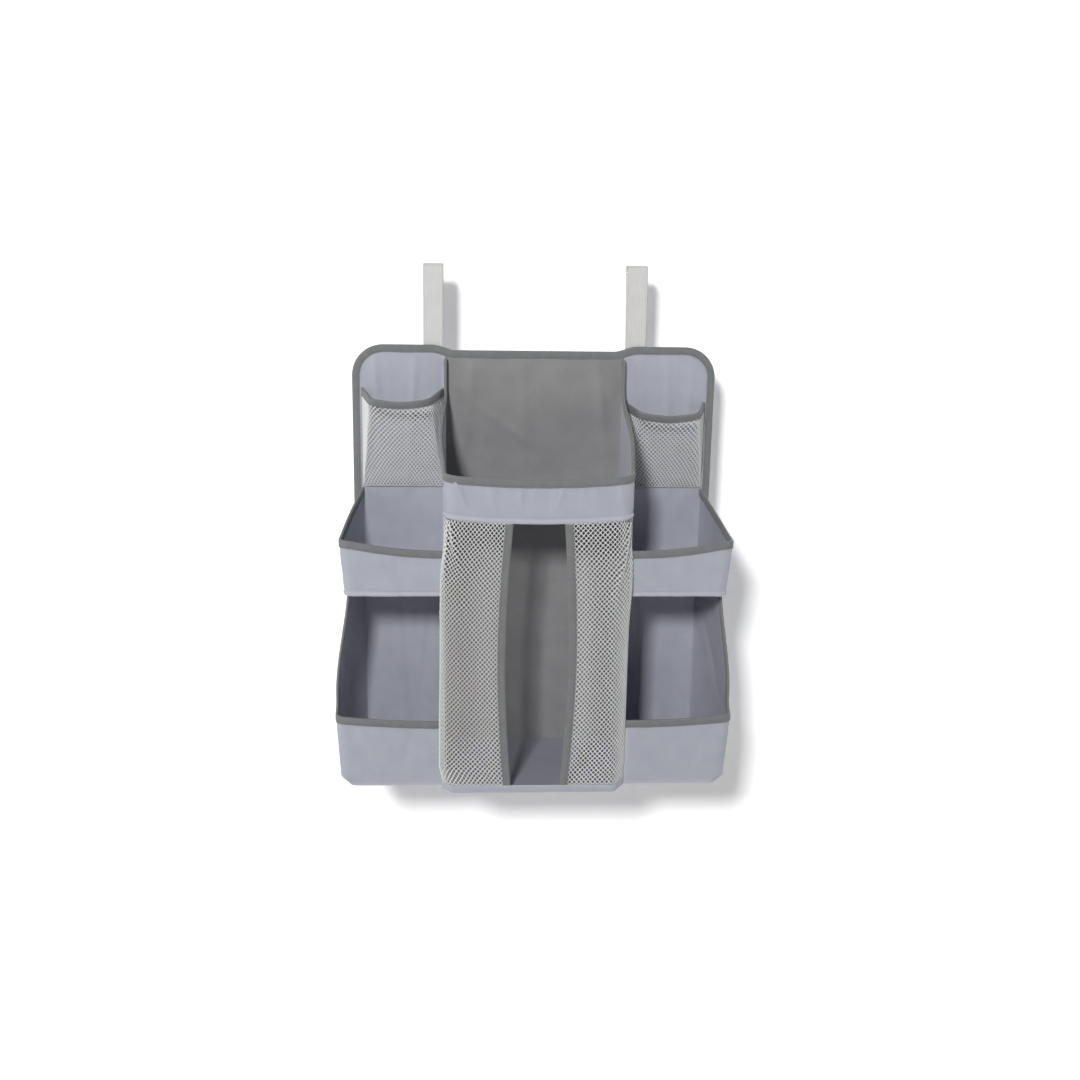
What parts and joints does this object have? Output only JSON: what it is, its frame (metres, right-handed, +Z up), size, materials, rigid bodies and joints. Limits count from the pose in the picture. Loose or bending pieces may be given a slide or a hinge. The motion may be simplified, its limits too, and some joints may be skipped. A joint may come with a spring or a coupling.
{
  "type": "diaper caddy",
  "caption": "Hanging cloth diaper caddy: lobed back panel on two hook-and-loop straps, with open trays, cubbies, net pockets and a netted diaper compartment.",
  "frame": {"origin": "midway between the straps, on the underside of their loops, where they hang on a rail", "axes": "+X to the object's right as seen from the front, -Y towards the user, +Z up"},
  "size_m": [0.4918, 0.1959, 0.632],
  "materials": {
    "lilac_cloth": "satin woven nylon, lilac grey",
    "inner_cloth": "plain woven nylon, darker lilac grey",
    "grey_lining": "plain woven lining, mid grey",
    "grey_tape": "folded binding tape, stitched, grey",
    "white_net": "knitted diamond net, white",
    "webbing": "woven webbing, off-white",
    "hook_and_loop": "hook-and-loop tape, off-white",
    "paperboard": "stiff paperboard, hidden in the cloth"
  },
  "bodies": {
    "caddy": {"left_front_cloth": "lilac_cloth", "right_front_cloth": "lilac_cloth", "left_divider": "lilac_cloth", "right_divider": "lilac_cloth", "centre_tray_front": "lilac_cloth", "diaper_front_lip": "lilac_cloth", "left_tray_front": "lilac_cloth", "left_tray_gusset": "lilac_cloth", "right_tray_front": "lilac_cloth", "right_tray_gusset": "lilac_cloth", "left_cubby_front": "lilac_cloth", "left_cubby_side": "lilac_cloth", "right_cubby_front": "lilac_cloth", "right_cubby_side": "lilac_cloth", "rear_cloth": "inner_cloth", "centre_tray_floor": "inner_cloth", "diaper_floor": "inner_cloth", "left_tray_floor": "inner_cloth", "right_tray_floor": "inner_cloth", "left_cubby_floor": "inner_cloth", "right_cubby_floor": "inner_cloth", "centre_lining": "grey_lining", "edge_binding": "grey_tape", "centre_tray_binding": "grey_tape", "left_curtain_binding": "grey_tape", "right_curtain_binding": "grey_tape", "left_tray_binding": "grey_tape", "right_tray_binding": "grey_tape", "left_cubby_binding": "grey_tape", "right_cubby_binding": "grey_tape", "left_pocket_binding": "grey_tape", "right_pocket_binding": "grey_tape", "left_curtain_net": "white_net", "right_curtain_net": "white_net", "left_corner_net": "white_net", "right_corner_net": "white_net", "left_pocket_front_net": "white_net", "left_pocket_inner_net": "white_net", "left_pocket_outer_net": "white_net", "right_pocket_front_net": "white_net", "right_pocket_inner_net": "white_net", "right_pocket_outer_net": "white_net", "left_strap_anchor": "webbing", "right_strap_anchor": "webbing", "left_loop_patch": "hook_and_loop", "right_loop_patch": "hook_and_loop", "back_board": "paperboard", "centre_tray_board": "paperboard", "diaper_board": "paperboard", "left_tray_board": "paperboard", "right_tray_board": "paperboard", "left_cubby_board": "paperboard", "right_cubby_board": "paperboard"},
    "left_strap": {"left_strap": "webbing"},
    "left_tail": {"left_strap_tail": "webbing", "left_hook_patch": "hook_and_loop"},
    "right_strap": {"right_strap": "webbing"},
    "right_tail": {"right_strap_tail": "webbing", "right_hook_patch": "hook_and_loop"}
  },
  "joints": [
    {"name": "left_strap_swing", "type": "hinge", "parent": "caddy", "child": "left_strap", "pos_m": [-0.1275, -0.0138, -0.0969], "axis": [1, 0, 0], "range_deg": [0, 85]},
    {"name": "left_tail_peel", "type": "hinge", "parent": "left_strap", "child": "left_tail", "pos_m": [-0.1275, 0.0138, -0.00735], "axis": [1, 0, 0], "range_deg": [0, 120]},
    {"name": "right_strap_swing", "type": "hinge", "parent": "caddy", "child": "right_strap", "pos_m": [0.1275, -0.0138, -0.0969], "axis": [1, 0, 0], "range_deg": [0, 85]},
    {"name": "right_tail_peel", "type": "hinge", "parent": "right_strap", "child": "right_tail", "pos_m": [0.1275, 0.0138, -0.00735], "axis": [1, 0, 0], "range_deg": [0, 120]}
  ]
}
